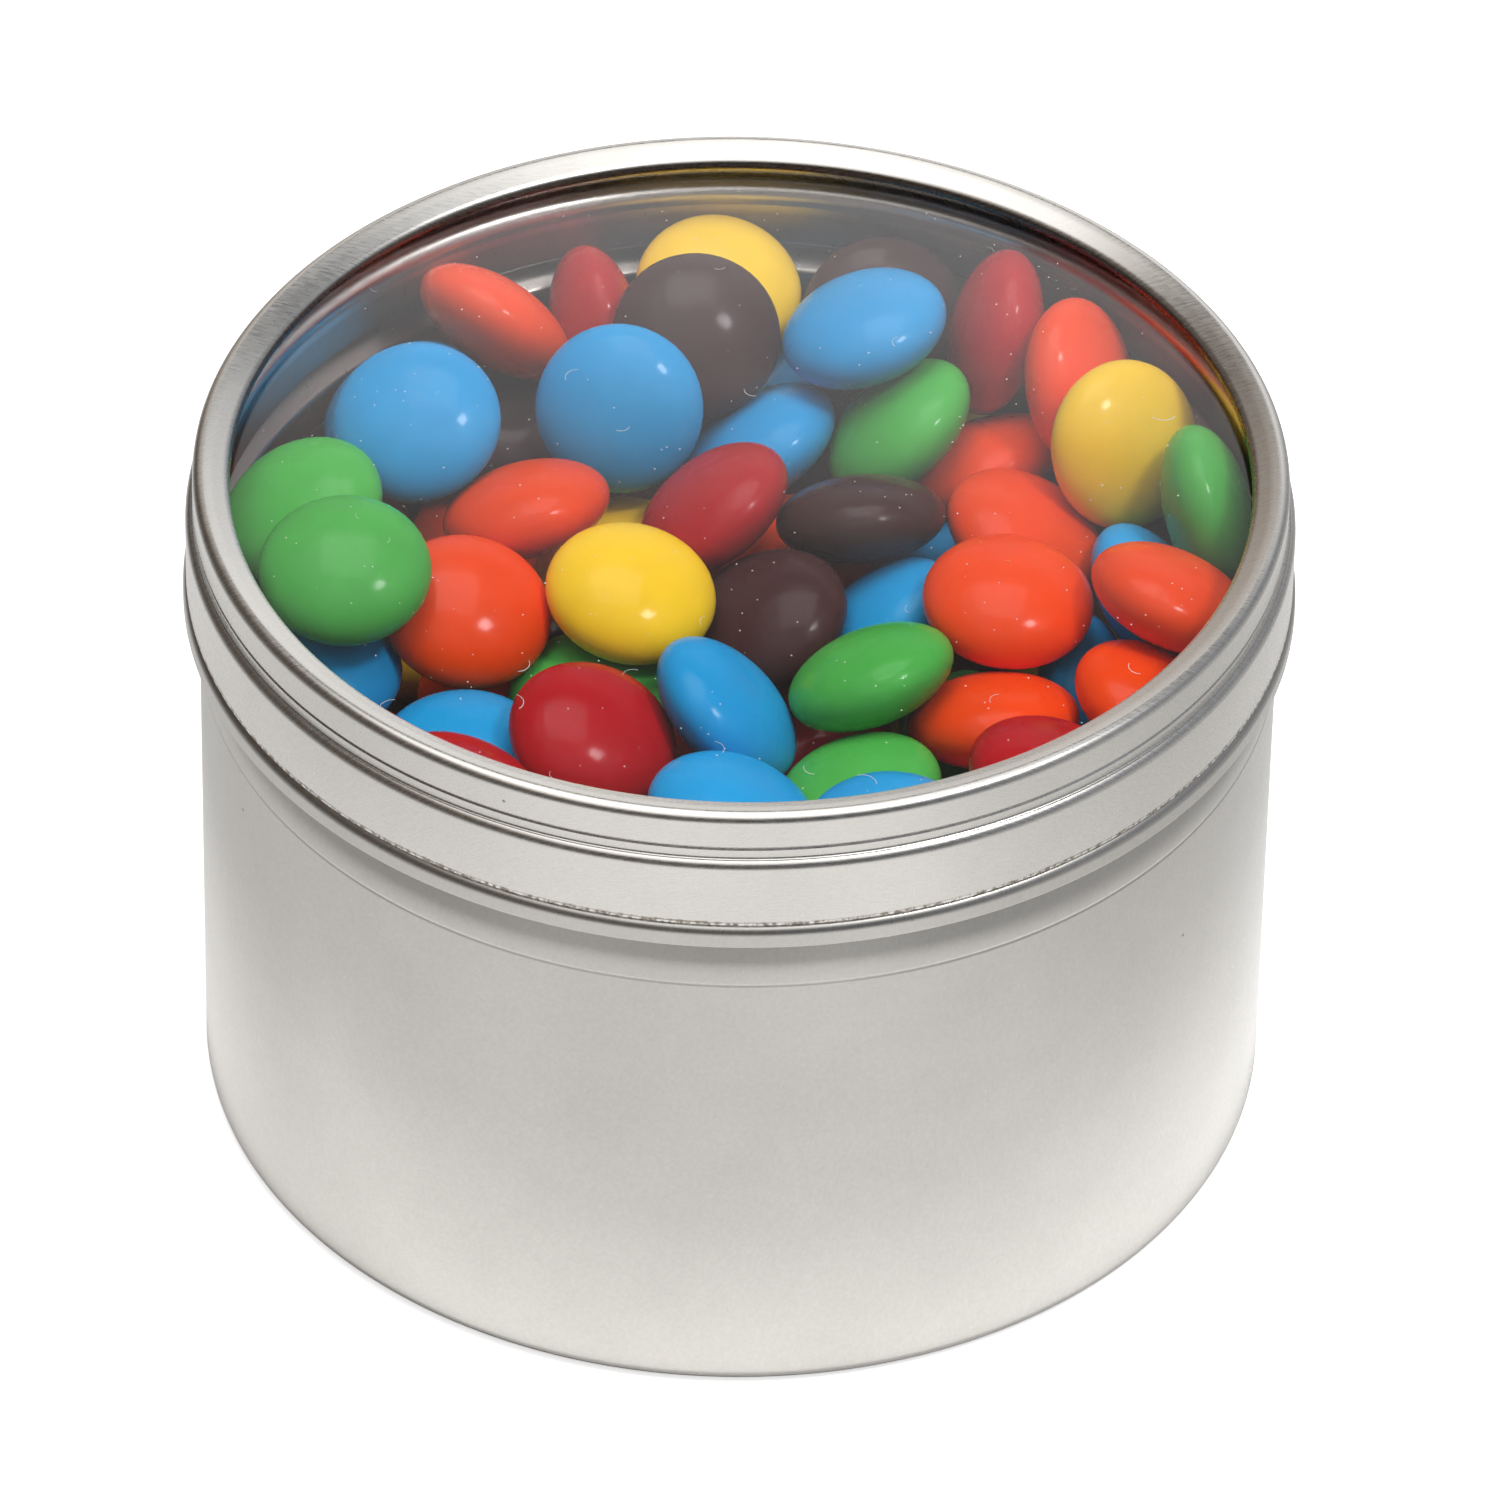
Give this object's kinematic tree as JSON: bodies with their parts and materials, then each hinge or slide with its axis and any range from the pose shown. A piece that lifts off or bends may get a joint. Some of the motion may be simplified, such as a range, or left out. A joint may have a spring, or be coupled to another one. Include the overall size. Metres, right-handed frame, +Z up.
{
  "type": "window lid tin",
  "caption": "Round drawn tin with rolled mouth and stop bead, a slip lid ring round a clear window, and a fill of sugar-shelled lentil sweets.",
  "frame": {"origin": "centre of the foot ring, on the surface that the tin stands on", "axes": "+Z up along the tin's axis through the window; -Y towards the pictured front, +X to its right"},
  "size_m": [0.0864, 0.0864, 0.0578],
  "materials": {
    "tinplate": "light warm grey tinplate, fine cross-brushed grain",
    "lid_tinplate": "light warm grey tinplate, fine grain round the ring",
    "clear_window": "flat clear plastic sheet, slightly hazy",
    "red_shell": "glossy sugar shell",
    "orange_shell": "glossy sugar shell",
    "yellow_shell": "glossy sugar shell",
    "green_shell": "glossy sugar shell",
    "blue_shell": "glossy sugar shell",
    "brown_shell": "glossy sugar shell"
  },
  "bodies": {
    "tin": {"tin_body": "tinplate", "sweets_red": "red_shell", "sweets_orange": "orange_shell", "sweets_yellow": "yellow_shell", "sweets_green": "green_shell", "sweets_blue": "blue_shell", "sweets_brown": "brown_shell"},
    "lid": {"lid_ring": "lid_tinplate", "lid_window": "clear_window"}
  },
  "joints": [
    {"name": "lid_lift", "type": "slide", "parent": "tin", "child": "lid", "axis": [0, 0, 1], "range_m": [0, 0.025]}
  ]
}
